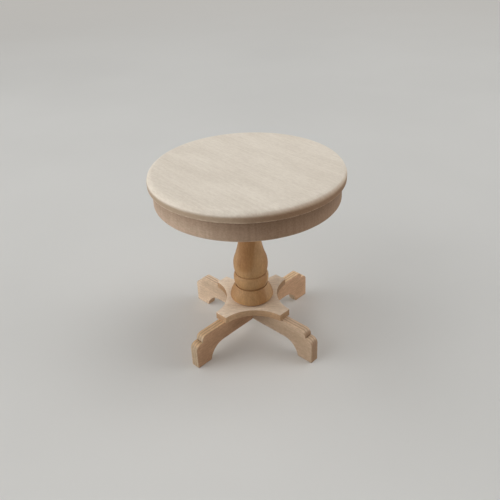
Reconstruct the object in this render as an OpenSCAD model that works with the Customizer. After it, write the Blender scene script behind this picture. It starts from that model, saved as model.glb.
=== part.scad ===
// Miniature pedestal dining table for a dolls' house.
// A round board with an apron ring stands on a turned column. The column's foot
// sits in a scalloped plate, and the plate on two sawn boards that cross.
// The leg boards lie along X and Y, the floor is z = 0 and the column's axis is Z.

/* [Table] */
// Height from the floor to the top face
table_h = 50; // [48:0.5:56]
// Diameter of the round top
top_d = 49; // [46:0.5:60]

/* [Top] */
// Thickness of the top board
top_t = 2.7; // [2.2:0.1:4]
// Radius of the rounded upper edge of the top board
top_round = 1.5; // [0.6:0.1:2]
// Size of the small chamfer under the edge of the top board
top_chamfer = 0.3; // [0.1:0.05:0.5]
// How far the top board stands out past the apron ring
top_overhang = 1; // [0.5:0.05:2]
// Height of the apron ring
apron_h = 5.3; // [5:0.05:7]
// Wall thickness of the apron ring
apron_wall = 3; // [2:0.1:4]
// Size of the chamfers on the lower rim of the apron ring
apron_chamfer = 0.35; // [0.1:0.05:0.5]

/* [Top block] */
// Side of the square block that holds the column under the top
block_side = 14; // [11:0.5:18]
// Thickness of the block
block_t = 4.6; // [4:0.1:5]
// Size of the block's corner chamfers
block_chamfer = 1; // [0.4:0.1:2]

/* [Column] */
// Largest radius of the bell-shaped foot
bell_r = 5.95; // [5.3:0.05:6.5]
// Radius of the bell foot where it stands on the plate
bell_base_r = 4.6; // [4.3:0.05:5.2]
// Radius at the top of the bell foot
bell_top_r = 4.65; // [4.2:0.05:4.8]
// Height of the widest place of the bell foot above the plate
bell_edge_h = 0.9; // [0.4:0.05:1.2]
// Height of the bell foot
bell_h = 4.55; // [4.4:0.05:6]
// Radius of the rounded bead above the bell foot
bead_r = 4.8; // [4.3:0.05:5]
// Height of the bead between its two grooves
bead_h = 3.75; // [3:0.05:4]
// Radius at the bottom of the two grooves
groove_r = 4.15; // [3.4:0.05:4.2]
// Largest radius of the vase-shaped shaft
vase_r = 4.7; // [4.3:0.05:5]
// Height of the widest place of the vase above the upper groove
vase_rise = 2.6; // [2:0.05:3]
// Radius of the neck, the narrowest place of the column
neck_r = 2.75; // [2.4:0.05:3]
// Height of the neck above the column's foot
neck_h = 21.85; // [20:0.05:23]
// Height of the plain collar at the top of the column
collar_h = 1; // [0.5:0.1:1.5]
// Radius of the tenon at the foot of the column
foot_tenon_r = 2; // [1.5:0.1:2.5]
// Radius of the tenon at the top of the column
head_tenon_r = 1.6; // [1.2:0.1:2]

/* [Base plate] */
// Width of the plate from tip to tip
plate_span = 24.2; // [23:0.1:26]
// Width of each cut-off tip
plate_tip_w = 3.9; // [3:0.1:5]
// Radius of the four scooped sides
plate_scoop_r = 10.3; // [9:0.1:12]
// Thickness of the plate
plate_t = 2; // [1.5:0.1:2.5]

/* [Leg boards] */
// Length of each leg board
leg_span = 44.7; // [43:0.1:46]
// Thickness of each leg board
leg_t = 2.5; // [2:0.1:3]
// Height of the leg boards
leg_h = 9.15; // [8.8:0.05:9.6]
// Clear height of the arch between the feet
arch_h = 4.15; // [4:0.05:4.5]
// Radius of the curve at each end of the arch
arch_r = 4.8; // [4.6:0.1:6]
// Length of each foot on the floor
foot_len = 4.8; // [4:0.1:6]
// Height of the ledge near each toe
ledge_h = 7.3; // [6.8:0.05:7.8]
// Length of the ledge
ledge_len = 2.25; // [2:0.05:2.6]
// Radius of the rounded toe
toe_r = 1.7; // [1:0.1:1.9]
// Radius of the rounded knee above the ledge
knee_r = 1.4; // [0.8:0.1:1.5]

/* [Fits] */
// Glue gap around each tenon and on each side of the lap joint
glue_gap = 0.05; // [0.03:0.01:0.1]

/* [Hidden] */
$fn = 96;
arc_steps = 10;
cut = 1;                                  // how far a cutter runs past a face

top_r = top_d / 2;
board_z = table_h - top_t;                // underside of the top board
apron_r = top_r - top_overhang;
apron_z = board_z - apron_h;              // lower rim of the apron ring
foot_z = leg_h + plate_t;                 // where the column stands on the plate
shoulder_z = board_z - block_t;           // where the column meets the block
leg_reach = leg_span / 2;
knee_x = leg_reach - ledge_len;
lap_z = (arch_h + leg_h) / 2;             // the two boards share their height here
// The arch ends in an arc that meets its flat top and runs down to the foot.
arch_x = leg_reach - foot_len - sqrt(pow(arch_r, 2) - pow(arch_r - arch_h, 2));
// Each scoop is a circle about (scoop_x, scoop_x) through the corners of two tips.
// Those corners are tip_gap apart along X and along Y.
tip_gap = (plate_span - plate_tip_w) / 2;
scoop_x = (plate_tip_w + tip_gap) / 2 + sqrt(pow(plate_scoop_r, 2) / 2 - pow(tip_gap / 2, 2));

// Points of an arc about c, from angle a0 to angle a1.
function arc(c, r, a0, a1) =
    [for (i = [0:arc_steps]) let (a = a0 + (a1 - a0) * i / arc_steps)
        [c[0] + r * cos(a), c[1] + r * sin(a)]];

// Points of a quarter ellipse about c with half axes rx and ry.
function ellipse_arc(c, rx, ry, a0, a1) =
    [for (i = [0:arc_steps]) let (a = a0 + (a1 - a0) * i / arc_steps)
        [c[0] + rx * cos(a), c[1] + ry * sin(a)]];

// The shaft is two tangent arcs: one round the vase's belly, one hollow at the neck.
// The belly's arc takes this share of their two radii.
belly_share = 0.2;
belly_z = foot_z + bell_h + bead_h + vase_rise;
neck_z = foot_z + neck_h;
shaft_turn = 2 * atan((vase_r - neck_r) / (neck_z - belly_z));
arcs_r = (neck_z - belly_z) / sin(shaft_turn);
belly_arc_r = arcs_r * belly_share;
neck_arc_r = arcs_r - belly_arc_r;
collar_z = shoulder_z - collar_h;
flare_turn = asin((collar_z - neck_z) / neck_arc_r);
collar_r = neck_r + neck_arc_r * (1 - cos(flare_turn));

bell_edge_z = foot_z + bell_edge_h;        // widest place of the bell foot
low_groove_z = foot_z + bell_h;
high_groove_z = low_groove_z + bead_h;
groove_w = 0.18;                          // half the width of each groove
bead_mid_share = 0.56;                    // the bead is widest a little above its middle

module table_top() {
    color([0.86, 0.80, 0.71])
        rotate_extrude()
            polygon(concat(
                [[0, board_z], [top_r - top_chamfer, board_z],
                 [top_r, board_z + top_chamfer]],
                arc([top_r - top_round, table_h - top_round], top_round, 0, 90),
                [[0, table_h]]));
}

module apron_ring() {
    color([0.58, 0.46, 0.34])
        rotate_extrude()
            polygon([
                [apron_r - apron_wall, apron_z + apron_chamfer],
                [apron_r - apron_wall + apron_chamfer, apron_z],
                [apron_r - apron_chamfer, apron_z],
                [apron_r, apron_z + apron_chamfer],
                [apron_r, board_z],
                [apron_r - apron_wall, board_z]]);
}

module top_block() {
    half = block_side / 2;
    inner = half - block_chamfer;
    color([0.70, 0.58, 0.44])
        translate([0, 0, shoulder_z])
            difference() {
                linear_extrude(block_t)
                    polygon([[half, inner], [inner, half], [-inner, half], [-half, inner],
                             [-half, -inner], [-inner, -half], [inner, -half], [half, -inner]]);
                translate([0, 0, -cut])
                    cylinder(r = head_tenon_r + glue_gap, h = block_t + 2 * cut);
            }
}

module pedestal_column() {
    bead_z = low_groove_z + bead_h * bead_mid_share;
    bead_low = low_groove_z + groove_w;
    bead_high = high_groove_z - groove_w;
    belly_low = high_groove_z + groove_w;
    color([0.64, 0.47, 0.31])
        union() {
            rotate_extrude()
                polygon(concat(
                    [[0, foot_z], [bell_base_r, foot_z]],
                    ellipse_arc([bell_base_r, bell_edge_z],
                                bell_r - bell_base_r, bell_edge_z - foot_z, -60, 0),
                    [[bell_top_r, low_groove_z - groove_w], [groove_r, low_groove_z]],
                    ellipse_arc([groove_r, bead_z], bead_r - groove_r,
                                bead_z - bead_low, -90, 0),
                    ellipse_arc([groove_r, bead_z], bead_r - groove_r,
                                bead_high - bead_z, 0, 90),
                    [[groove_r, high_groove_z]],
                    ellipse_arc([groove_r, belly_z], vase_r - groove_r,
                                belly_z - belly_low, -90, 0),
                    arc([vase_r - belly_arc_r, belly_z], belly_arc_r, 0, shaft_turn),
                    arc([neck_r + neck_arc_r, neck_z], neck_arc_r,
                        180 + shaft_turn, 180 - flare_turn),
                    [[collar_r, shoulder_z], [0, shoulder_z]]));
            translate([0, 0, leg_h + glue_gap])
                cylinder(r = foot_tenon_r, h = plate_t);
            translate([0, 0, shoulder_z - glue_gap])
                cylinder(r = head_tenon_r, h = block_t);
        }
}

module base_plate() {
    color([0.78, 0.67, 0.53])
        translate([0, 0, leg_h])
            linear_extrude(plate_t)
                difference() {
                    square(plate_span, center = true);
                    for (turn = [0:90:270])
                        rotate(turn)
                            translate([scoop_x, scoop_x])
                                circle(r = plate_scoop_r);
                    circle(r = foot_tenon_r + glue_gap);
                }
}

// Half of a leg board's outline, seen from the side, from its flat top round to the arch.
half_leg = concat(
    arc([knee_x - knee_r, leg_h - knee_r], knee_r, 90, 0),
    [[knee_x, ledge_h]],
    arc([leg_reach - toe_r, ledge_h - toe_r], toe_r, 90, 0),
    [[leg_reach, 0]],
    arc([arch_x, arch_h - arch_r], arch_r, asin((arch_r - arch_h) / arch_r), 90));
other_half = [for (i = [len(half_leg) - 1:-1:0]) [-half_leg[i][0], half_leg[i][1]]];

module leg_board() {
    rotate([90, 0, 0])
        linear_extrude(leg_t, center = true)
            polygon(concat(half_leg, other_half));
}

// The notch that takes the other board, from the lap height up or down.
module lap_notch(z_from, z_to) {
    width = leg_t + 2 * glue_gap;
    translate([-width / 2, -leg_t / 2 - cut, z_from])
        cube([width, leg_t + 2 * cut, z_to - z_from]);
}

module lower_leg_board() {
    color([0.70, 0.57, 0.42])
        difference() {
            leg_board();
            lap_notch(lap_z, leg_h + cut);
        }
}

module upper_leg_board() {
    color([0.72, 0.59, 0.44])
        rotate(90)
            difference() {
                leg_board();
                lap_notch(arch_h - cut, lap_z);
            }
}

table_top();
apron_ring();
top_block();
pedestal_column();
base_plate();
upper_leg_board();
lower_leg_board();
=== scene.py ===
import math

import bpy
import numpy as np
from mathutils import Matrix, Vector
from mathutils.geometry import delaunay_2d_cdt


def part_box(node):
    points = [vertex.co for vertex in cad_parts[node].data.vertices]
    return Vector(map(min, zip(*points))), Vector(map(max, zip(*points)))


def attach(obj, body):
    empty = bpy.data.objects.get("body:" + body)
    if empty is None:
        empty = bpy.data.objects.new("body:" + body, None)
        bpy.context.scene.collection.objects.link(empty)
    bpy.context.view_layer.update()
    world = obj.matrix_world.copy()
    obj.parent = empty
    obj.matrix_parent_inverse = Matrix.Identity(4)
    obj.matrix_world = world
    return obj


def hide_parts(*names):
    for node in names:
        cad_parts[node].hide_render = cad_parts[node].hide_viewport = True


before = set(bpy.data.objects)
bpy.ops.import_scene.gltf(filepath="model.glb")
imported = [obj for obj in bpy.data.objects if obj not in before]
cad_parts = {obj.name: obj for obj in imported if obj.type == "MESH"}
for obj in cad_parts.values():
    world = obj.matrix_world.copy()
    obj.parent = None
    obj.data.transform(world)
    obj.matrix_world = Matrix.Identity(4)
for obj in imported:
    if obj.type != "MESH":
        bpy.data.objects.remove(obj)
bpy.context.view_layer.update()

MM = 0.001

# ---------------------------------------------------------------- levels and sizes, in mm
# Levels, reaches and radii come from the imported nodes. The rest is named here.


def node_box(node):
    """Lowest and highest corner of a CAD node, in mm."""
    low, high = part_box(node)
    return np.array(low) / MM, np.array(high) / MM


top_low, top_high = node_box("table_top")
apron_low, apron_high = node_box("apron_ring")
block_low, block_high = node_box("top_block")
column_low, column_high = node_box("pedestal_column")
plate_low, plate_high = node_box("base_plate")
lower_low, lower_high = node_box("lower_leg_board")

TABLE_H = top_high[2]
BOARD_Z = top_low[2]
TOP_R = top_high[0]
APRON_R = apron_high[0]
APRON_Z = apron_low[2]
APRON_WALL = 3.0
BLOCK_HALF = block_high[0]
SHOULDER_Z = block_low[2]
PLATE_Z = plate_low[2]
FOOT_Z = plate_high[2]
PLATE_HALF = plate_high[0]
LEG_REACH = lower_high[0]
LEG_H = lower_high[2]
LEG_T = lower_high[1] - lower_low[1]

FOOT_TENON_R = 2.0
HEAD_TENON_R = 1.6
GLUE_GAP = 0.05

BELL_R = column_high[0]
BELL_BASE_R = 4.6
BELL_TOP_R = 4.65
BELL_EDGE_H = 0.9
BELL_H = 4.55
BELL_SWELL = 0.2
BELL_SHOULDER = 0.5
BEAD_R = 4.8
BEAD_H = 3.75
BEAD_MID_SHARE = 0.56
GROOVE_R = 4.15
GROOVE_HALF_W = 0.18
VASE_R = 4.7
VASE_RISE = 2.6
NECK_R = 2.75
NECK_H = 21.85
COLLAR_H = 1.0
BELLY_SHARE = 0.2

TIP_W = 3.9
SCOOP_R = 10.3

ARCH_H = 4.15
ARCH_R = 4.8
FOOT_LEN = 4.8
LEDGE_H = 7.3
LEDGE_LEN = 2.25
TOE_R = 1.7
KNEE_R = 1.4

# How far the sawn boards are worn: their arrises, their corners and their uneven edges.
ARRIS = 0.14
CORNER_ROUND = 0.3
UNEVEN = 0.05

INSIDE_CAD = 0.02                    # turned pieces stay this far inside the CAD radius
SHARP_ANGLE = 40                     # degrees between faces, above which a corner is kept
WEAR_REACH = 1.2 * MM                # longer edges say nothing about how sharp a corner is
# painted shade on the apron under the top's overhang
SEAM_SHADE = 0.3                      # as much as fills the deepest hollows

# ---------------------------------------------------------------- curves


def arc(centre, rx, ry, start, end, steps):
    """Points of an elliptical arc, both ends included, angles in degrees."""
    turns = np.radians(np.linspace(start, end, steps + 1))
    return [(centre[0] + rx * math.cos(a), centre[1] + ry * math.sin(a)) for a in turns]


def resample(points, gap):
    """Adds points so that no two neighbours of an open line are further apart than gap."""
    fine = [points[0]]
    for a, b in zip(points, points[1:]):
        count = max(1, math.ceil(math.dist(a, b) / gap))
        fine += [(a[0] + (b[0] - a[0]) * i / count, a[1] + (b[1] - a[1]) * i / count)
                 for i in range(1, count + 1)]
    return fine


def rounded(points, radius):
    """The closed outline with each corner that turns sharply replaced by a small arc."""
    least_turn, steps = 25, 3
    out = []
    count = len(points)
    for i in range(count):
        before, here, after = (np.array(points[(i + k) % count]) for k in (-1, 0, 1))
        a, b = before - here, after - here
        la, lb = np.linalg.norm(a), np.linalg.norm(b)
        a, b = a / la, b / lb
        corner = math.acos(max(-1, min(1, float(a @ b))))
        if 180 - math.degrees(corner) < least_turn:
            out.append(tuple(here))
            continue
        reach = min(radius / math.tan(corner / 2), 0.9 * la, 0.9 * lb)
        start, end = here + a * reach, here + b * reach
        for k in range(steps + 1):
            t = k / steps
            out.append(tuple(start * (1 - t) ** 2 + here * 2 * t * (1 - t) + end * t ** 2))
    return out


def wave(angle, terms):
    """A smooth uneven wave from 0 to 1 round a full turn. terms are (count, share, phase)."""
    total = sum(share for _, share, _ in terms)
    value = sum(share * np.sin(count * angle + phase) for count, share, phase in terms)
    return 0.5 + 0.5 * value / total


# ---------------------------------------------------------------- meshes


def mesh_object(name, verts, faces):
    """A smooth-shaded mesh object from points in mm, with corners kept sharp."""
    mesh = bpy.data.meshes.new(name)
    mesh.from_pydata([tuple(np.array(v) * MM) for v in verts], [], faces)
    mesh.update()
    mesh.polygons.foreach_set("use_smooth", [True] * len(mesh.polygons))
    mesh.set_sharp_from_angle(angle=math.radians(SHARP_ANGLE))
    add_wear_and_painted_light(mesh)
    obj = bpy.data.objects.new(name, mesh)
    bpy.context.scene.collection.objects.link(obj)
    return obj


def add_wear_and_painted_light(mesh):
    """Point attribute "wear": above 0 on outer edges, below 0 in hollows and grooves.
    It is how fast the surface turns at each point, smoothed twice over the neighbours.
    The wood pales the edges by it, as sanding and painted highlights, and darkens the
    hollows by it, as painted shade."""
    count = len(mesh.vertices)
    co = np.zeros(count * 3)
    mesh.vertices.foreach_get("co", co)
    co = co.reshape(-1, 3)
    normal = np.zeros(count * 3)
    mesh.vertices.foreach_get("normal", normal)
    normal = normal.reshape(-1, 3)
    edge = np.zeros(len(mesh.edges) * 2, int)
    mesh.edges.foreach_get("vertices", edge)
    a, b = edge.reshape(-1, 2).T
    step = co[b] - co[a]
    length = np.maximum(np.linalg.norm(step, axis=1), 1e-9)
    turn = np.einsum("ij,ij->i", normal[b] - normal[a], step) / length ** 2
    near = length < WEAR_REACH
    total, share = np.zeros(count), np.zeros(count)
    for end in (a, b):
        np.add.at(total, end[near], turn[near])
        np.add.at(share, end[near], 1)
    value = np.clip(total / np.maximum(share, 1) * 0.25 * MM, -1, 1)
    for _ in range(2):
        total, share = value.copy(), np.ones(count)
        for here, there in ((a, b), (b, a)):
            np.add.at(total, here[near], value[there[near]])
            np.add.at(share, here[near], 1)
        value = total / share
    attribute = mesh.attributes.new("wear_and_painted_light", "FLOAT", "POINT")
    attribute.data.foreach_set("value", value.astype(np.float32))


def paint_seam_shade(obj, height, depth, most):
    """Painted shade in the seam at height, which thins out over depth below it."""
    marks = obj.data.attributes["wear_and_painted_light"].data
    for vertex in obj.data.vertices:
        share = 1 - (height - vertex.co.z / MM) / depth
        if share > 0:
            marks[vertex.index].value = -most * share


def lathe(name, profile, sides, shape=None, ring=False):
    """A turned solid from a profile of (radius, height). A ring's profile closes on itself;
    any other starts and ends on the axis. shape moves the points of each row."""
    turns = np.linspace(0, 2 * math.pi, sides, endpoint=False)
    verts, faces, rows = [], [], []
    for radius, height in profile:
        if radius < 1e-6:
            rows.append([len(verts)])
            verts.append((0, 0, height))
            continue
        r = np.full(sides, float(radius))
        z = np.full(sides, float(height))
        if shape:
            r, z = shape(turns, r, z)
        rows.append(list(range(len(verts), len(verts) + sides)))
        verts += list(zip(r * np.cos(turns), r * np.sin(turns), z))
    pairs = list(zip(rows, rows[1:])) + ([(rows[-1], rows[0])] if ring else [])
    for low, high in pairs:
        for j in range(sides):
            k = (j + 1) % sides
            if len(low) == 1:
                faces.append((low[0], high[k], high[j]))
            elif len(high) == 1:
                faces.append((low[j], low[k], high[0]))
            else:
                faces.append((low[j], low[k], high[k], high[j]))
    return mesh_object(name, verts, faces)


def inset(outline, amount):
    """The closed outline moved inwards by amount, which may differ from point to point."""
    p = np.array(outline)
    ahead = np.roll(p, -1, 0) - p
    ahead /= np.linalg.norm(ahead, axis=1)[:, None]
    behind = np.roll(ahead, 1, 0)
    left = np.stack([-ahead[:, 1] - behind[:, 1], ahead[:, 0] + behind[:, 0]], 1)
    left /= np.linalg.norm(left, axis=1)[:, None]
    mitre = np.einsum("ij,ij->i", left, np.stack([-ahead[:, 1], ahead[:, 0]], 1))
    return p + left * (np.asarray(amount) / np.maximum(mitre, 0.6))[..., None]


def cap(edge, inner):
    """Fills the outline edge with even triangles, leaving out the hole inner. Returns the
    points, those of edge and inner first, and the anticlockwise triangles."""
    gap = 1.1
    loops = [edge, np.array(inner)] if len(inner) else [edge]
    points = np.concatenate(loops)
    border = []
    for loop in loops:
        start = 0 if loop is edge else len(edge)
        border += [(start + i, start + (i + 1) % len(loop)) for i in range(len(loop))]
    low, high = edge.min(0), edge.max(0)
    grid = [(x, y) for x in np.arange(low[0] + gap / 2, high[0], gap)
            for y in np.arange(low[1] + gap / 2, high[1], gap)]
    far = [q for q in grid if np.linalg.norm(points - q, axis=1).min() > 0.5 * gap
           and inside(q, edge) and not (len(inner) and inside(q, loops[1]))]
    points = np.concatenate([points, np.array(far).reshape(-1, 2)])
    made = delaunay_2d_cdt([Vector(q) for q in points], border, [], 1, 1e-6, True)
    source = [ids[0] for ids in made[3]]
    triangles = []
    for face in made[2]:
        t = [source[i] for i in face]
        a, b, c = points[t]
        middle = (a + b + c) / 3
        if not inside(middle, edge) or (len(inner) and inside(middle, loops[1])):
            continue
        turn = (b[0] - a[0]) * (c[1] - a[1]) - (b[1] - a[1]) * (c[0] - a[0])
        triangles.append(tuple(t) if turn > 0 else tuple(t[::-1]))
    return points, triangles


def inside(q, loop):
    """Whether the point q is inside the closed loop."""
    a, b = loop, np.roll(loop, -1, 0)
    crosses = (a[:, 1] > q[1]) != (b[:, 1] > q[1])
    run = b[crosses, 0] - a[crosses, 0]
    x = a[crosses, 0] + (q[1] - a[crosses, 1]) * run / (b[crosses, 1] - a[crosses, 1])
    return np.count_nonzero(x > q[0]) % 2 == 1


def slab(name, outline, low, high, arris, place, bore=None):
    """A board with a rounded arris along both faces. outline is anticlockwise; place turns
    (u, v, height) into a point of the part. bore is the radius of a hole through it."""
    arris_steps = 3
    p = np.array(outline)
    along = np.concatenate([[0], np.cumsum(np.linalg.norm(np.diff(p, axis=0), axis=1))])
    full = along[-1] + np.linalg.norm(p[0] - p[-1])
    turn = along / full * 2 * math.pi
    soft = wave(turn, [(5, 1, 0.4), (13, 0.8, 1.9), (31, 0.6, 4.1), (57, 0.4, 2.2)])
    size = arris * (0.75 + 0.5 * soft)
    lean = UNEVEN * wave(turn, [(7, 1, 2.0), (17, 0.7, 0.3), (41, 0.5, 5.0)])
    lifts = np.radians(np.linspace(90, 0, arris_steps + 1))
    rows = [(lean + size * (1 - np.cos(a)), low + size * (1 - np.sin(a))) for a in lifts]
    rows += [(lean * (1 - 0.6 * math.sin(math.pi * t)), np.full(len(p), low + (high - low) * t))
             for t in (0.3, 0.5, 0.7)]
    rows += [(lean + size * (1 - np.cos(a)), high - size * (1 - np.sin(a)))
             for a in lifts[::-1]]
    count = len(p)
    verts, faces = [], []
    for amount, height in rows:
        verts += [place(q[0], q[1], h) for q, h in zip(inset(outline, amount), height)]
    for i in range(len(rows) - 1):
        for j in range(count):
            k = (j + 1) % count
            a, b = i * count, (i + 1) * count
            faces.append((a + j, a + k, b + k, b + j))
    last = (len(rows) - 1) * count
    inner = []
    if bore:
        around = np.linspace(0, 2 * math.pi, 48, endpoint=False)
        inner = [(bore * math.cos(a), bore * math.sin(a)) for a in around]
    sides = []
    for first, height, is_low in ((0, low, True), (last, high, False)):
        edge = inset(outline, rows[0][0])
        points, triangles = cap(edge, inner)
        index = list(range(first, first + count))
        index += range(len(verts), len(verts) + len(points) - count)
        verts += [place(q[0], q[1], height) for q in points[count:]]
        faces += [tuple(index[i] for i in (t[::-1] if is_low else t)) for t in triangles]
        sides.append(index[count:count + len(inner)])
    for j in range(len(inner)):
        k = (j + 1) % len(inner)
        faces.append((sides[0][k], sides[0][j], sides[1][j], sides[1][k]))
    obj = mesh_object(name, verts, faces)
    flat = obj.modifiers.new("flat_faces", "WEIGHTED_NORMAL")
    flat.keep_sharp = True
    return obj


# ---------------------------------------------------------------- wood

# Sizes of the wood's features in mm: along the grain, then twice across it.
BEND_SIZE = (28, 7, 7)               # slow bends of the growth rings
FIBRE_SIZE = (5, 0.3, 0.3)
STREAK_SIZE = (22, 0.9, 0.9)
CLOUD_SIZE = (16, 6, 6)              # large soft patches
PORE_SIZE = (1.6, 0.13, 0.13)
SPECKLE_SIZE = (0.9, 0.4, 0.4)
UPRIGHT_SIZE = (0.9, 0.9, 40)        # streaks up the side of a ring of end grain
SWAY_SIZE = (9, 9, 9)                # slow bends of the layers
# patches where the sanded edges are paler, which also paint patchy highlights on them
RUB_AND_HIGHLIGHT_SIZE = (1.8, 1.8, 1.8)           # patches where edges were sanded more
SAW_SIZE = (0.35, 14, 14)
BUMP_DEPTH = 0.03 * MM
WOOD_IOR = 1.45
WOOD_SHINE = 0.35
PLY_SWAY = 0.25                      # how far the layers bend, in mm
PLY_PHASE = 0.35                     # where in a layer the middle of the board lies
PLY_SEAM = 0.55                      # how strongly the seams between layers show
WARMTH = (1.0, 1.15, 1.3)            # darker wood is also warmer, by these powers


def link(tree, a, b):
    tree.links.new(a, b)


def node_of(tree, kind, **settings):
    node = tree.nodes.new(kind)
    for key, value in settings.items():
        setattr(node, key, value)
    return node


def math_node(tree, operation, a, b=None, c=None, clamp=False):
    node = node_of(tree, "ShaderNodeMath", operation=operation, use_clamp=clamp)
    for socket, value in zip(node.inputs, (a, b, c)):
        if value is None:
            continue
        if isinstance(value, (int, float)):
            socket.default_value = value
        else:
            link(tree, value, socket)
    return node.outputs[0]


def ramp(tree, value, low, high, out_low=0.0, out_high=1.0):
    """A smooth step from out_low at low to out_high at high."""
    node = node_of(tree, "ShaderNodeMapRange", interpolation_type="SMOOTHSTEP")
    link(tree, value, node.inputs["Value"])
    for key, number in (("From Min", low), ("From Max", high),
                        ("To Min", out_low), ("To Max", out_high)):
        node.inputs[key].default_value = number
    return node.outputs["Result"]


def blend_colour(tree, share, a, b, kind="MIX"):
    node = node_of(tree, "ShaderNodeMix", data_type="RGBA", blend_type=kind)
    for socket, value in ((node.inputs[0], share), (node.inputs[6], a), (node.inputs[7], b)):
        if isinstance(value, (int, float)):
            socket.default_value = value
        elif isinstance(value, tuple):
            socket.default_value = (*value, 1)
        else:
            link(tree, value, socket)
    return node.outputs[2]


def noise_at(tree, place, stretch, detail=2.0, rough=0.5, offset=(0, 0, 0)):
    """Noise whose blobs are stretch mm long along each axis."""
    scaled = node_of(tree, "ShaderNodeMapping")
    scaled.inputs["Scale"].default_value = [1 / s for s in stretch]
    scaled.inputs["Location"].default_value = offset
    link(tree, place, scaled.inputs["Vector"])
    node = node_of(tree, "ShaderNodeTexNoise", noise_dimensions="3D")
    node.inputs["Scale"].default_value = 1
    node.inputs["Detail"].default_value = detail
    node.inputs["Roughness"].default_value = rough
    link(tree, scaled.outputs["Vector"], node.inputs["Vector"])
    return node.outputs["Fac"]


def wood(name, light, dark, end, turn, pith, ring_gap=1.1, ring_share=0.45, bend_share=1.2,
         streak=0.12, blotch=0.10, fibre=0.10, pores=0.25, saw=0.0, upright=0.0, ply=0.0,
         across=None, side_tint=(1, 1, 1), sawn_from=(0.85, 0.45), rub_and_highlight=0.10, hollow_shade=0.45,
         painted_shade_slope=0.0, seed=0, roughness=0.62, end_start=0.5, speckle=0.07):
    """Wood with growth rings round a pith line, fibres, pores, streaks and end grain.

    light, dark and end are the colours of early wood, late wood and end grain. The grain
    runs along the wood's own X. turn is its direction in degrees about Z, or "up". pith is
    the pith's place on the wood's own Y and Z, and its slope. The shares from ring_share
    to upright and speckle say how strongly each feature shows. rub is how much paler the
    worn edges are, which also paints highlights on them, and dust how much painted shade
    darkens the hollows.

    across is the wood's own axis through a board (1 or 2). side_tint colours its sawn
    sides, which show as the facing along that axis falls through the two values of
    sawn_from. With ply, they also show the edges of layers that many mm thick. Where
    across is 2, the underside counts as sawn too. On the top, side_tint also paints shade
    on the edge and underside. fade paints shade and light along the grain: the piece is
    darker at one end, where it stands in shade, and lighter at the other."""
    material = bpy.data.materials.new(name)
    material.use_nodes = True
    tree = material.node_tree
    tree.nodes.clear()
    surface = node_of(tree, "ShaderNodeBsdfPrincipled")
    surface.inputs["IOR"].default_value = WOOD_IOR
    surface.inputs["Specular IOR Level"].default_value = WOOD_SHINE
    output = node_of(tree, "ShaderNodeOutputMaterial")
    link(tree, surface.outputs[0], output.inputs["Surface"])
    coords = node_of(tree, "ShaderNodeTexCoord")

    def aligned(socket, scale, kind):
        """The vector turned so that the grain runs along X."""
        node = node_of(tree, "ShaderNodeMapping", vector_type=kind)
        if turn == "up":
            node.inputs["Rotation"].default_value = (0, math.radians(90), 0)
        else:
            node.inputs["Rotation"].default_value = (0, 0, -math.radians(turn))
        node.inputs["Scale"].default_value = (scale, scale, scale)
        link(tree, socket, node.inputs["Vector"])
        return node.outputs["Vector"]

    place = aligned(coords.outputs["Object"], 1 / MM, "POINT")
    facing = aligned(coords.outputs["Normal"], 1, "POINT")
    shift = (seed * 7.31, seed * 3.17, seed * 5.53)

    # growth rings
    bend = noise_at(tree, place, BEND_SIZE, 2.0, 0.5, shift)
    split = node_of(tree, "ShaderNodeSeparateXYZ")
    link(tree, place, split.inputs[0])
    y = math_node(tree, "SUBTRACT", split.outputs[1], pith[0])
    z = math_node(tree, "SUBTRACT", split.outputs[2], pith[1])
    lean = math_node(tree, "MULTIPLY", split.outputs[0], pith[2])
    y = math_node(tree, "ADD", y, lean)
    radius = math_node(tree, "POWER", math_node(
        tree, "ADD", math_node(tree, "MULTIPLY", y, y), math_node(tree, "MULTIPLY", z, z)), 0.5)
    radius = math_node(tree, "MULTIPLY_ADD", bend, bend_share * ring_gap, radius)
    phase = math_node(tree, "FRACT", math_node(tree, "DIVIDE", radius, ring_gap))
    rise = ramp(tree, phase, 0.15, 0.82)
    fall = ramp(tree, phase, 0.86, 1.0, 1.0, 0.0)
    ring = math_node(tree, "MULTIPLY", rise, fall)

    # fibres, streaks, pores, large soft variation
    fine = noise_at(tree, place, FIBRE_SIZE, 4.0, 0.65, shift)
    broad = noise_at(tree, place, STREAK_SIZE, 2.0, 0.55, shift[::-1])
    cloud = noise_at(tree, place, CLOUD_SIZE, 1.5, 0.5, shift)
    fleck = ramp(tree, noise_at(tree, place, PORE_SIZE, 1.0, 0.5, shift[::-1]), 0.60, 0.72)

    # end grain shows where the surface faces along the fibres
    face = node_of(tree, "ShaderNodeSeparateXYZ")
    link(tree, facing, face.inputs[0])
    ends = ramp(tree, math_node(tree, "ABSOLUTE", face.outputs[0]), end_start, 0.97)

    colour = blend_colour(tree, math_node(tree, "MULTIPLY", ring, ring_share), light, dark)
    colour = blend_colour(tree, ends, colour, blend_colour(
        tree, math_node(tree, "MULTIPLY", ring, ring_share), end, tuple(0.72 * c for c in end)))
    value = ramp(tree, broad, 0.3, 0.7, 1 - streak, 1 + streak)
    value = math_node(tree, "MULTIPLY", value, ramp(tree, cloud, 0.3, 0.7, 1 - blotch, 1 + blotch))
    value = math_node(tree, "MULTIPLY", value, ramp(tree, fine, 0.3, 0.7, 1 - fibre, 1 + fibre))
    value = math_node(tree, "MULTIPLY", value,
                      math_node(tree, "MULTIPLY_ADD", fleck, -pores * 0.5, 1.0))
    grit = noise_at(tree, place, SPECKLE_SIZE, 2.0, 0.6, shift)
    value = math_node(tree, "MULTIPLY", value,
                      ramp(tree, grit, 0.3, 0.7, 1 - speckle, 1 + speckle))
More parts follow.
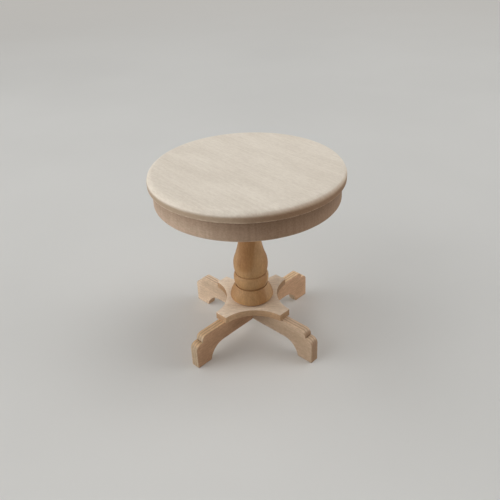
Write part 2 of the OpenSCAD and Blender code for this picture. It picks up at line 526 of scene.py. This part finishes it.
    # painted shade and light: the piece darkens towards one end of its grain and lightens towards
    # the other
    if painted_shade_slope:
        value = math_node(tree, "MULTIPLY", value, ramp(
            tree, split.outputs[0], -LEG_REACH, LEG_REACH, 1 - painted_shade_slope, 1 + painted_shade_slope))
    if upright:
        marks = noise_at(tree, place, UPRIGHT_SIZE, 3.0, 0.6, shift)
        value = math_node(tree, "MULTIPLY", value,
                          ramp(tree, marks, 0.3, 0.7, 1 - upright, 1 + upright))

    if across:
        flat = face.outputs[across]
        if across == 1:
            flat = math_node(tree, "ABSOLUTE", flat)
        sawn = ramp(tree, flat, *sawn_from)
        colour = blend_colour(tree, sawn, colour, blend_colour(
            tree, 1.0, colour, side_tint, "MULTIPLY"))
    if ply:
        sway = noise_at(tree, place, SWAY_SIZE, 1.0, 0.5, shift)
        depth = math_node(tree, "MULTIPLY_ADD", sway, PLY_SWAY, split.outputs[across])
        layer = math_node(tree, "MULTIPLY_ADD", depth, 1 / ply, PLY_PHASE)
        seam = math_node(tree, "ABSOLUTE", math_node(
            tree, "SUBTRACT", math_node(tree, "FRACT", layer), 0.5))
        seam = math_node(tree, "MULTIPLY", ramp(tree, seam, 0.25, 0.40), sawn)
        colour = blend_colour(tree, math_node(tree, "MULTIPLY", seam, PLY_SEAM), colour, end)

    # sanded edges are paler in places, and this also paints highlights on them; hollows and
    # grooves are darkened with painted shade
    wear_and_painted_light = node_of(tree, "ShaderNodeAttribute", attribute_name="wear_and_painted_light")
    rubbed_and_lit = ramp(tree, wear_and_painted_light.outputs["Fac"], 0.03, 0.35)
    patchy = ramp(tree, noise_at(tree, place, RUB_AND_HIGHLIGHT_SIZE, 2.0, 0.6, shift),
                  0.38, 0.62, 0.4, 1.6)
    rubbed_and_lit = math_node(tree, "MULTIPLY", rubbed_and_lit, patchy)
    hollow = ramp(tree, wear_and_painted_light.outputs["Fac"], -0.02, -0.30)
    value = math_node(tree, "MULTIPLY", value, math_node(tree, "MULTIPLY_ADD", rubbed_and_lit, rub_and_highlight, 1.0))
    value = math_node(tree, "MULTIPLY", value, math_node(tree, "MULTIPLY_ADD", hollow, -hollow_shade, 1.0))
    shade = node_of(tree, "ShaderNodeCombineXYZ")
    for i, warm in enumerate(WARMTH):
        link(tree, math_node(tree, "POWER", value, warm), shade.inputs[i])
    colour = blend_colour(tree, 1.0, colour, shade.outputs[0], "MULTIPLY")
    link(tree, colour, surface.inputs["Base Color"])

    # roughness and relief
    rough = math_node(tree, "MULTIPLY_ADD", fine, 0.16, roughness - 0.08)
    rough = math_node(tree, "MULTIPLY_ADD", rubbed_and_lit, -0.08, rough)
    link(tree, math_node(tree, "MULTIPLY_ADD", ends, 0.1, rough, clamp=True),
         surface.inputs["Roughness"])
    height = math_node(tree, "MULTIPLY_ADD", ring, 0.35, math_node(tree, "MULTIPLY", fine, 0.7))
    height = math_node(tree, "MULTIPLY_ADD", fleck, -0.8, height)
    if saw:
        wavy = noise_at(tree, place, SAW_SIZE, 1.0, 0.5, shift)
        height = math_node(tree, "MULTIPLY_ADD", wavy, saw, height)
    bump = node_of(tree, "ShaderNodeBump")
    bump.inputs["Strength"].default_value = 0.6
    bump.inputs["Distance"].default_value = BUMP_DEPTH
    link(tree, height, bump.inputs["Height"])
    link(tree, bump.outputs["Normal"], surface.inputs["Normal"])
    return material


# The top's edge band and underside are tinted much darker than its face: the sawn edge's own
# colour, and painted shade there as well. Its sanded edges are paler, partly as painted
# highlights.
TOP_WOOD = wood("top_wood", (0.89, 0.80, 0.68), (0.81, 0.70, 0.56), (0.55, 0.395, 0.275),
                turn=-5, pith=(-60.0, -12.0, 0.02), ring_gap=0.9, ring_share=0.15,
                streak=0.02, blotch=0.03, fibre=0.03, pores=0.06, across=2,
                side_tint=(0.54, 0.45, 0.375), sawn_from=(0.5, 0.0), rub_and_highlight=0.25,
                speckle=0.035, seed=1)
APRON_WOOD = wood("apron_wood", (0.57, 0.42, 0.31), (0.50, 0.355, 0.25), (0.345, 0.22, 0.14),
                  turn=-5, pith=(-70.0, 5.0, 0.03), ring_gap=2.0, ring_share=0.03,
                  streak=0.01, blotch=0.03, fibre=0.03, pores=0.1, upright=0.06, rub_and_highlight=0.12,
                  hollow_shade=0.28, seed=2, end_start=0.3)
BLOCK_WOOD = wood("block_wood", (0.60, 0.45, 0.31), (0.50, 0.36, 0.24), (0.40, 0.28, 0.18),
                  turn=90, pith=(5.0, -18.0, 0.05), saw=0.6, seed=3)
# The wide rings round this pith lay a broad dark band of late wood on the middle of the vase's
# camera-facing side, with paler flanks: grain, and painted shade on that side as well.
COLUMN_WOOD = wood("column_wood", (0.50, 0.287, 0.128), (0.385, 0.187, 0.068),
                   (0.32, 0.176, 0.075), turn="up", pith=(-62.5, -21.1, -0.40),
                   ring_gap=6.0, ring_share=0.85, bend_share=0.15, streak=0.04,
                   blotch=0.04, fibre=0.05, pores=0.15, hollow_shade=0.1, seed=4, roughness=0.52,
                   end_start=0.85)
# the plate is painted darker towards +X+Y, as shade, and lighter towards -X-Y
PLATE_WOOD = wood("plate_wood", (0.83, 0.67, 0.51), (0.74, 0.575, 0.41), (0.55, 0.40, 0.27),
                  turn=45, pith=(4.0, -30.0, 0.02), ring_gap=1.0, ring_share=0.25,
                  streak=0.03, blotch=0.03, fibre=0.04, pores=0.12, across=2,
                  side_tint=(0.67, 0.53, 0.405), painted_shade_slope=-0.22, rub_and_highlight=0.06, seed=5)
# the lower board is painted darker towards +X, as shade, and lighter towards -X
LOWER_LEG_WOOD = wood("lower_leg_wood", (0.60, 0.44, 0.305), (0.53, 0.375, 0.25),
                      (0.37, 0.235, 0.145), turn=0, pith=(-40.0, -3.0, 0.01), ring_gap=0.85,
                      ring_share=0.12, streak=0.03, blotch=0.04, fibre=0.05, pores=0.12,
                      across=1, ply=0.83, side_tint=(1.27, 1.29, 1.29), rub_and_highlight=0.08, painted_shade_slope=-0.16,
                      seed=6)
# The upper board is the lower board's wood painted darker and warmer, as shade on its faces, with
# its sides tinted back up to lit wood. Along its grain it is also painted darker towards -Y, as
# shade, and lighter towards +Y.
UPPER_LEG_SHADED_WOOD = wood("upper_leg_wood_painted_shade", (0.545, 0.325, 0.19), (0.475, 0.272, 0.155),
                      (0.42, 0.28, 0.19), turn=90, pith=(40.0, 2.0, -0.01), ring_gap=0.85,
                      ring_share=0.12, streak=0.03, blotch=0.04, fibre=0.05, pores=0.12,
                      across=1, ply=0.83, side_tint=(1.47, 1.68, 1.65), rub_and_highlight=0.08, seed=8,
                      painted_shade_slope=0.13)


def finish_piece(obj, node, material):
    """Gives a piece its wood and lets it stand for its CAD node on the part's one body."""
    obj.data.materials.append(material)
    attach(obj, "root")
    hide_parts(node)


# ---------------------------------------------------------------- the round top

TOP_ROUND = 1.5                      # of the upper edge
TOP_ARRIS = 0.25                     # of the lower edge
SANDED_W = 2.2                       # width of the sanded edge
SANDED_H = 1.6                       # its depth below the top face
SANDED_OFF = 0.09                    # the most that the sanding took off


def top_shape(turns, r, z):
    """Hand sanding: the rounded edge is a little uneven, always inside the full size."""
    depth = np.clip((r - (TOP_R - SANDED_W)) / SANDED_W, 0, 1)
    soft = wave(turns, [(3, 1, 0.3), (11, 0.8, 2.1), (29, 0.6, 4.4), (53, 0.5, 1.2),
                        (83, 0.35, 3.3)])
    shoulder = (np.clip((z - (TABLE_H - SANDED_H)) / 1.0, 0, 1)
                * np.clip((TABLE_H - z) / 0.12, 0, 1))
    return r - depth * (INSIDE_CAD + SANDED_OFF * soft * shoulder), z


def make_top():
    inner = TOP_R - TOP_ROUND
    profile = [(0, BOARD_Z)]
    profile += resample([(1.0, BOARD_Z), (TOP_R - TOP_ARRIS, BOARD_Z)], 1.0)[1:]
    profile += arc((TOP_R - TOP_ARRIS, BOARD_Z + TOP_ARRIS), TOP_ARRIS, TOP_ARRIS, -90, 0, 5)[1:]
    profile += resample([profile[-1], (TOP_R, TABLE_H - TOP_ROUND)], 0.3)[1:]
    profile += arc((inner, TABLE_H - TOP_ROUND), TOP_ROUND, TOP_ROUND, 0, 90, 14)[1:]
    profile += resample([(inner, TABLE_H), (1.0, TABLE_H)], 0.8)[1:]
    profile += [(0, TABLE_H)]
    finish_piece(lathe("round_top", profile, 360, top_shape), "table_top", TOP_WOOD)


# ---------------------------------------------------------------- the apron ring

RIM_ROUND = 0.7
SEAM_ROUND = 0.22
FLATS_DEPTH = 0.05


def apron_shape(turns, r, z):
    """The outside is sanded by hand into faint long flats."""
    outside = r > APRON_R - RIM_ROUND - 0.01
    flats = wave(turns, [(4, 1, 1.0), (9, 0.9, 0.2), (19, 0.8, 3.0), (37, 0.5, 5.1)])
    level = np.clip((z - APRON_Z) / (BOARD_Z - APRON_Z), 0, 1)
    hollow = FLATS_DEPTH * np.sin(math.pi * level)
    return np.where(outside, r - FLATS_DEPTH * flats - hollow, r), z


def make_apron():
    inner = APRON_R - APRON_WALL
    profile = resample([(inner, BOARD_Z), (inner, APRON_Z + RIM_ROUND)], 0.5)
    profile += arc((inner + RIM_ROUND, APRON_Z + RIM_ROUND), RIM_ROUND, RIM_ROUND,
                   180, 270, 4)[1:]
    profile += arc((APRON_R - RIM_ROUND, APRON_Z + RIM_ROUND), RIM_ROUND, RIM_ROUND,
                   -90, 0, 6)
    profile += resample([profile[-1], (APRON_R, BOARD_Z - SEAM_ROUND)], 0.4)[1:]
    profile += arc((APRON_R - SEAM_ROUND, BOARD_Z - SEAM_ROUND), SEAM_ROUND, SEAM_ROUND,
                   0, 80, 4)[1:]
    profile += [(APRON_R - 2 * SEAM_ROUND, BOARD_Z)]
    band = lathe("apron_band", profile, 360, apron_shape, ring=True)
    # painted shade on the apron: darkest under the top's overhang and lighter towards its bottom
    # rim
    paint_seam_shade(band, BOARD_Z, BOARD_Z - APRON_Z, SEAM_SHADE)
    finish_piece(band, "apron_ring", APRON_WOOD)


# ---------------------------------------------------------------- the block under the top

BLOCK_CHAMFER = 1.0
BLOCK_ARRIS = 0.15
BLOCK_ROUND = 0.4


def flat_place(u, v, height):
    return (u, v, height)


def make_block():
    far, near = BLOCK_HALF, BLOCK_HALF - BLOCK_CHAMFER
    corners = [(far, near), (near, far), (-near, far), (-far, near),
               (-far, -near), (-near, -far), (near, -far), (far, -near)]
    outline = resample(corners + corners[:1], 1.0)[:-1]
    block = slab("column_block", rounded(outline, BLOCK_ROUND), SHOULDER_Z, BOARD_Z,
                 BLOCK_ARRIS, flat_place, bore=HEAD_TENON_R + GLUE_GAP)
    finish_piece(block, "top_block", BLOCK_WOOD)


# ---------------------------------------------------------------- the turned column

TOOL_MARKS = (0.012, 19.0, 0.0), (0.008, 43.0, 1.0)     # depth, then closeness and phase
OVALITY = 0.03
TRUE_R = 2.4                         # the tenons, which are thinner than this, stay true


def column_shape(turns, r, z):
    """Fine tool marks round the column, and a trace of ovality."""
    marks = sum(depth * np.sin(z * close + phase) for depth, close, phase in TOOL_MARKS)
    oval = OVALITY * wave(turns, [(2, 1, 0.7), (5, 0.3, 2.0)])
    turned = np.clip((r - TRUE_R) / 0.4, 0, 1)
    return r - turned * (INSIDE_CAD + marks + oval), z


def make_column():
    low_groove = FOOT_Z + BELL_H
    high_groove = low_groove + BEAD_H
    bead_mid = low_groove + BEAD_H * BEAD_MID_SHARE
    belly_z = high_groove + VASE_RISE
    neck_z = FOOT_Z + NECK_H
    turn = 2 * math.atan((VASE_R - NECK_R) / (neck_z - belly_z))
    arcs_r = (neck_z - belly_z) / math.sin(turn)
    belly_arc_r = arcs_r * BELLY_SHARE
    neck_arc_r = arcs_r - belly_arc_r
    collar_z = SHOULDER_Z - COLLAR_H
    flare = math.asin((collar_z - neck_z) / neck_arc_r)
    collar_r = NECK_R + neck_arc_r * (1 - math.cos(flare))
    turn_deg, flare_deg = math.degrees(turn), math.degrees(flare)

    profile = [(0, column_low[2]), (FOOT_TENON_R, column_low[2]), (FOOT_TENON_R, FOOT_Z)]
    profile += arc((BELL_BASE_R, FOOT_Z + BELL_EDGE_H), BELL_R - BELL_BASE_R, BELL_EDGE_H,
                   -70, 0, 8)
    side = resample([profile[-1], (BELL_TOP_R, low_groove - BELL_SHOULDER)], 0.25)[1:]
    swell = [math.sin(math.pi * (i + 1) / len(side)) for i in range(len(side))]
    profile += [(r + BELL_SWELL * s, z) for (r, z), s in zip(side, swell)]
    profile += arc((GROOVE_R, low_groove - BELL_SHOULDER), BELL_TOP_R - GROOVE_R,
                   BELL_SHOULDER - GROOVE_HALF_W, 15, 85, 7)
    profile += [(GROOVE_R, low_groove)]
    profile += arc((GROOVE_R, bead_mid), BEAD_R - GROOVE_R,
                   bead_mid - low_groove - GROOVE_HALF_W, -86, 0, 12)
    profile += arc((GROOVE_R, bead_mid), BEAD_R - GROOVE_R,
                   high_groove - GROOVE_HALF_W - bead_mid, 0, 86, 12)[1:]
    profile += [(GROOVE_R, high_groove)]
    profile += arc((GROOVE_R, belly_z), VASE_R - GROOVE_R, VASE_RISE - GROOVE_HALF_W,
                   -86, 0, 14)
    profile += arc((VASE_R - belly_arc_r, belly_z), belly_arc_r, belly_arc_r,
                   0, turn_deg, 10)[1:]
    profile += arc((NECK_R + neck_arc_r, neck_z), neck_arc_r, neck_arc_r,
                   180 + turn_deg, 180 - flare_deg, 70)[1:]
    profile += [(collar_r, SHOULDER_Z), (HEAD_TENON_R, SHOULDER_Z),
                (HEAD_TENON_R, column_high[2]), (0, column_high[2])]
    finish_piece(lathe("turned_column", profile, 192, column_shape),
                 "pedestal_column", COLUMN_WOOD)


# ---------------------------------------------------------------- the scooped plate


def make_plate():
    gap = (2 * PLATE_HALF - TIP_W) / 2
    scoop = (TIP_W + gap) / 2 + math.sqrt(SCOOP_R ** 2 / 2 - (gap / 2) ** 2)
    start = math.degrees(math.atan2(TIP_W / 2 - scoop, PLATE_HALF - scoop)) % 360
    end = math.degrees(math.atan2(PLATE_HALF - scoop, TIP_W / 2 - scoop)) % 360
    outline = []
    for quarter in range(4):
        side = resample([(PLATE_HALF, -TIP_W / 2), (PLATE_HALF, TIP_W / 2)], 0.4)
        side += arc((scoop, scoop), SCOOP_R, SCOOP_R, start, end, 36)[1:-1]
        a = math.radians(90 * quarter)
        outline += [(x * math.cos(a) - y * math.sin(a), x * math.sin(a) + y * math.cos(a))
                    for x, y in side]
    plate = slab("scooped_plate", rounded(outline, CORNER_ROUND), PLATE_Z, FOOT_Z, ARRIS,
                 flat_place, bore=FOOT_TENON_R + GLUE_GAP)
    finish_piece(plate, "base_plate", PLATE_WOOD)


# ---------------------------------------------------------------- the two leg boards


def leg_outline(notch_low, notch_high):
    """A leg board seen from its side, anticlockwise, with a half-lap notch between those
    two heights: open at the top if it ends above the board, or else open below."""
    knee_x = LEG_REACH - LEDGE_LEN
    arch_x = LEG_REACH - FOOT_LEN - math.sqrt(ARCH_R ** 2 - (ARCH_R - ARCH_H) ** 2)
    arch_start = math.degrees(math.asin((ARCH_R - ARCH_H) / ARCH_R))
    half = arc((knee_x - KNEE_R, LEG_H - KNEE_R), KNEE_R, KNEE_R, 90, 0, 10)
    half += [(knee_x, LEDGE_H)]
    half += arc((LEG_REACH - TOE_R, LEDGE_H - TOE_R), TOE_R, TOE_R, 90, 0, 10)
    half += [(LEG_REACH, 0)]
    half += arc((arch_x, ARCH_H - ARCH_R), ARCH_R, ARCH_R, arch_start, 90, 16)
    other = [(-x, z) for x, z in half[::-1]]
    w = LEG_T / 2 + GLUE_GAP
    if notch_high > LEG_H:
        up = [(-w, LEG_H), (-w, notch_low), (w, notch_low), (w, LEG_H)]
        loop = half + other + up
    else:
        down = [(w, ARCH_H), (w, notch_high), (-w, notch_high), (-w, ARCH_H)]
        loop = half + down + other
    loop = loop[::-1]
    return resample(loop + loop[:1], 0.45)[:-1]


def make_legs():
    lap = (ARCH_H + LEG_H) / 2
    lower = slab("lower_legs", rounded(leg_outline(lap, LEG_H + 1), CORNER_ROUND),
                 -LEG_T / 2, LEG_T / 2, ARRIS, lambda u, v, h: (u, -h, v))
    finish_piece(lower, "lower_leg_board", LOWER_LEG_WOOD)
    upper = slab("upper_legs", rounded(leg_outline(0, lap), CORNER_ROUND),
                 -LEG_T / 2, LEG_T / 2, ARRIS, lambda u, v, h: (h, u, v))
    finish_piece(upper, "upper_leg_board", UPPER_LEG_SHADED_WOOD)


make_top()
make_apron()
make_block()
make_column()
make_plate()
make_legs()

# ---------------------------------------------------------------- floor, lights, camera

FLOOR_HALF = 3.0                     # metres
FLOOR_FADE = (0.2, 0.7)              # metres from the table over which it becomes backdrop
FLOOR_TONES = (0.735, 0.728, 0.70), (0.765, 0.758, 0.73)
FLOOR_CLOUD = (0.12, 0.12, 0.12)     # metres
PALE = (0.50, 0.485, 0.46)           # the backdrop's tone, as the camera sees it
ROOM_DIM = (0.003, 0.003, 0.003)     # the little light that the backdrop itself gives


def make_floor():
    """A plain pale floor with the faintest cloudiness, like matt paper."""
    mesh = bpy.data.meshes.new("studio_floor")
    corners = [(-1, -1), (1, -1), (1, 1), (-1, 1)]
    mesh.from_pydata([(x * FLOOR_HALF, y * FLOOR_HALF, 0) for x, y in corners], [],
                     [(0, 1, 2, 3)])
    floor = bpy.data.objects.new("studio_floor", mesh)
    bpy.context.scene.collection.objects.link(floor)
    material = bpy.data.materials.new("floor_paper")
    material.use_nodes = True
    tree = material.node_tree
    surface = tree.nodes["Principled BSDF"]
    surface.inputs["Roughness"].default_value = 0.9
    surface.inputs["Specular IOR Level"].default_value = 0.1
    coords = node_of(tree, "ShaderNodeTexCoord")
    cloud = noise_at(tree, coords.outputs["Object"], FLOOR_CLOUD, 3.0, 0.5)
    colour = blend_colour(tree, ramp(tree, cloud, 0.3, 0.7), *FLOOR_TONES)
    link(tree, colour, surface.inputs["Base Color"])
    # far from the table the floor runs into the backdrop's own even tone
    away = node_of(tree, "ShaderNodeVectorMath", operation="LENGTH")
    link(tree, coords.outputs["Object"], away.inputs[0])
    glow = node_of(tree, "ShaderNodeEmission")
    glow.inputs["Color"].default_value = (*PALE, 1)
    mix = node_of(tree, "ShaderNodeMixShader")
    link(tree, ramp(tree, away.outputs["Value"], *FLOOR_FADE), mix.inputs[0])
    link(tree, surface.outputs[0], mix.inputs[1])
    link(tree, glow.outputs[0], mix.inputs[2])
    link(tree, mix.outputs[0], tree.nodes["Material Output"].inputs["Surface"])
    mesh.materials.append(material)


CAMERA_AZIMUTH = 45.0
CAMERA_ELEVATION = 31.434
CAMERA_DISTANCE = 0.156146
CAMERA_AIM = Vector((0, 0, 0.025854))
CAMERA_ROLL = -2.557
CAMERA_LENS = 42.246


def direction(azimuth, elevation):
    """Unit vector towards a place round the part; azimuth 0 is in front, at -Y."""
    a, e = math.radians(azimuth), math.radians(elevation)
    return Vector((math.sin(a) * math.cos(e), -math.cos(a) * math.cos(e), math.sin(e)))


def make_camera():
    back = direction(CAMERA_AZIMUTH, CAMERA_ELEVATION)
    data = bpy.data.cameras.new("camera")
    data.lens = CAMERA_LENS
    data.sensor_width = 36
    data.clip_start, data.clip_end = 0.01, 10
    camera = bpy.data.objects.new("camera", data)
    bpy.context.scene.collection.objects.link(camera)
    turn = back.to_track_quat("Z", "Y").to_matrix().to_4x4()
    roll = Matrix.Rotation(math.radians(CAMERA_ROLL), 4, "Z")
    camera.matrix_world = Matrix.Translation(CAMERA_AIM + back * CAMERA_DISTANCE) @ turn @ roll
    bpy.context.scene.camera = camera


def soft_light(name, azimuth, elevation, power):
    """A large round lamp aimed at the middle of the table."""
    back = direction(azimuth, elevation)
    data = bpy.data.lights.new(name, "AREA")
    data.shape = "DISK"
    data.size = LIGHT_SIZE
    data.energy = power
    lamp = bpy.data.objects.new(name, data)
    lamp.visible_camera = False
    bpy.context.scene.collection.objects.link(lamp)
    lamp.matrix_world = (Matrix.Translation(LIGHT_AIM + back * LIGHT_DISTANCE)
                         @ back.to_track_quat("Z", "Y").to_matrix().to_4x4())


LIGHT_AIM = Vector((0, 0, 0.025))
LIGHT_DISTANCE = 0.9
LIGHT_SIZE = 0.6
# A soft white studio: pale walls all round, windows on the left, high lamps on the right.
# Each light has its place round the table, counted from the camera towards the right, and
# its height, both in degrees. Then comes its power in watts.
LIGHTS = {
    "wall_left": (-90, 12, 3.16),
    "window_front_left": (-60, 32, 1.61),
    "window_top_left": (-60, 52, 0.67),
    "window_back_left": (-120, 52, 1.24),
    "wall_front": (0, 32, 0.88),
    "wall_right": (90, 12, 1.93),
    "wall_right_high": (90, 32, 0.89),
    "lamp_right": (90, 72, 1.31),
    "wall_back_right": (135, 12, 0.77),
    "lamp_back_right": (120, 52, 0.65),
    "wall_behind": (180, 12, 1.32),
}


def make_light():
    for name, (azimuth, elevation, power) in LIGHTS.items():
        soft_light(name, CAMERA_AZIMUTH + azimuth, elevation, power)
    world = bpy.data.worlds.new("room")
    world.use_nodes = True
    tree = world.node_tree
    background = tree.nodes["Background"]
    # only a view of the room itself shows the backdrop's tone, so it doesn't light the table
    seen = node_of(tree, "ShaderNodeLightPath").outputs["Is Camera Ray"]
    link(tree, blend_colour(tree, seen, ROOM_DIM, PALE), background.inputs["Color"])
    bpy.context.scene.world = world
    bpy.context.scene.view_settings.view_transform = "Standard"


make_floor()
make_camera()
make_light()
